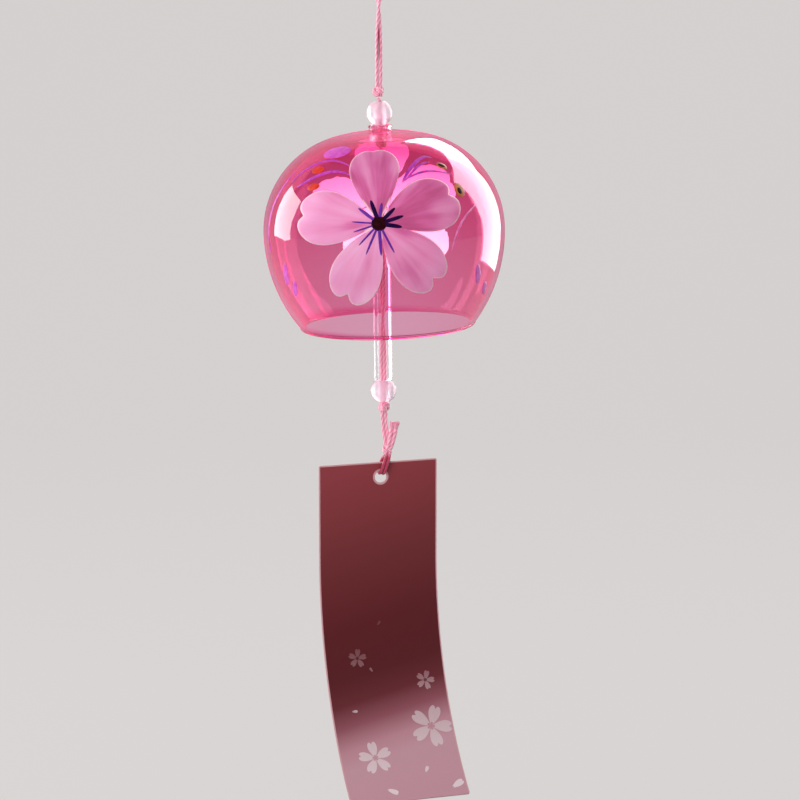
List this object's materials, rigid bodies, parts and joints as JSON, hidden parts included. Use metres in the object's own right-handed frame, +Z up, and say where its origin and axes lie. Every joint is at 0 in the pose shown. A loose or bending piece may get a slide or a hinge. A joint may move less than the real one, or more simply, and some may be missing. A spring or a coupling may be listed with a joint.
{
  "type": "wind bell",
  "caption": "Furin: a blown glass bell hung on a doubled cord, with a glass tube clapper, frosted beads and a curved paper wind strip tied below.",
  "frame": {"origin": "the bearing point of the hanging loop, at the inner top of its eye, where it rests on a hook", "axes": "+Z up along the hanging cord, -Y towards the front, where the strip's printed side turns, +X to the right seen from the front"},
  "size_m": [0.078, 0.0782, 0.2708],
  "materials": {
    "satin_cord": "pink satin cord",
    "frosted_bead": "frosted, pale pink",
    "pink_glass": "clear pink, fire-polished, painted with blossoms",
    "clear_plastic": "clear, moulded",
    "clear_glass": "clear, fire-polished ends",
    "printed_card": "coated card, printed in a gradient from dark to pale rose"
  },
  "bodies": {
    "cord_loop": {"hanging_loop": "satin_cord"},
    "cord_knot": {"upper_knot": "satin_cord"},
    "bell": {"glass_bell": "pink_glass", "neck_stopper": "clear_plastic", "bead_strands": "satin_cord"},
    "top_bead": {"upper_bead": "frosted_bead"},
    "clapper_knot": {"bell_knot": "satin_cord"},
    "clapper_cord": {"clapper_strands": "satin_cord"},
    "clapper_tube": {"glass_tube": "clear_glass"},
    "clapper_bead": {"lower_bead": "frosted_bead"},
    "strip_knot": {"lower_knot": "satin_cord"},
    "strip_tie": {"strip_strands": "satin_cord", "strip_loop": "satin_cord", "tie_knot": "satin_cord", "cord_tails": "satin_cord"},
    "wind_strip": {"strip": "printed_card"}
  },
  "joints": [
    {"name": "cord_twist", "type": "hinge", "parent": "cord_loop", "child": "cord_knot", "pos_m": [0, 0, -0.0434], "axis": [0, 0, 1], "continuous": true},
    {"name": "bell_swing", "type": "hinge", "parent": "cord_knot", "child": "bell", "pos_m": [0, 0, -0.0452], "axis": [0, -1, 0], "range_deg": [-25, 25]},
    {"name": "top_bead_spin", "type": "hinge", "parent": "bell", "child": "top_bead", "pos_m": [0, 0, -0.0452], "axis": [-0.0384, 0, 0.9993], "continuous": true},
    {"name": "clapper_turn", "type": "hinge", "parent": "bell", "child": "clapper_knot", "pos_m": [0.00062, 0, -0.0614], "axis": [-0.0384, 0, 0.9993], "continuous": true},
    {"name": "clapper_swing", "type": "hinge", "parent": "clapper_knot", "child": "clapper_cord", "pos_m": [0.00062, 0, -0.0614], "axis": [0, -1, 0], "range_deg": [-20.6, 23.8]},
    {"name": "tube_lift", "type": "slide", "parent": "clapper_cord", "child": "clapper_tube", "axis": [-0.0105, 0, 0.9999], "range_m": [0, 0.009]},
    {"name": "clapper_bead_spin", "type": "hinge", "parent": "clapper_cord", "child": "clapper_bead", "pos_m": [0.00153, 0, -0.14808], "axis": [-0.0105, 0, 0.9999], "continuous": true},
    {"name": "strip_turn", "type": "hinge", "parent": "clapper_cord", "child": "strip_knot", "pos_m": [0.00153, 0, -0.14808], "axis": [-0.0105, 0, 0.9999], "continuous": true},
    {"name": "strip_swing", "type": "hinge", "parent": "strip_knot", "child": "strip_tie", "pos_m": [0.00153, 0, -0.14808], "axis": [0, -1, 0], "range_deg": [-30, 30]},
    {"name": "strip_flap", "type": "hinge", "parent": "strip_tie", "child": "wind_strip", "pos_m": [0.00036, -0.00079, -0.16825], "axis": [0.9466, 0.3223, 0], "range_deg": [-10, 10]}
  ]
}
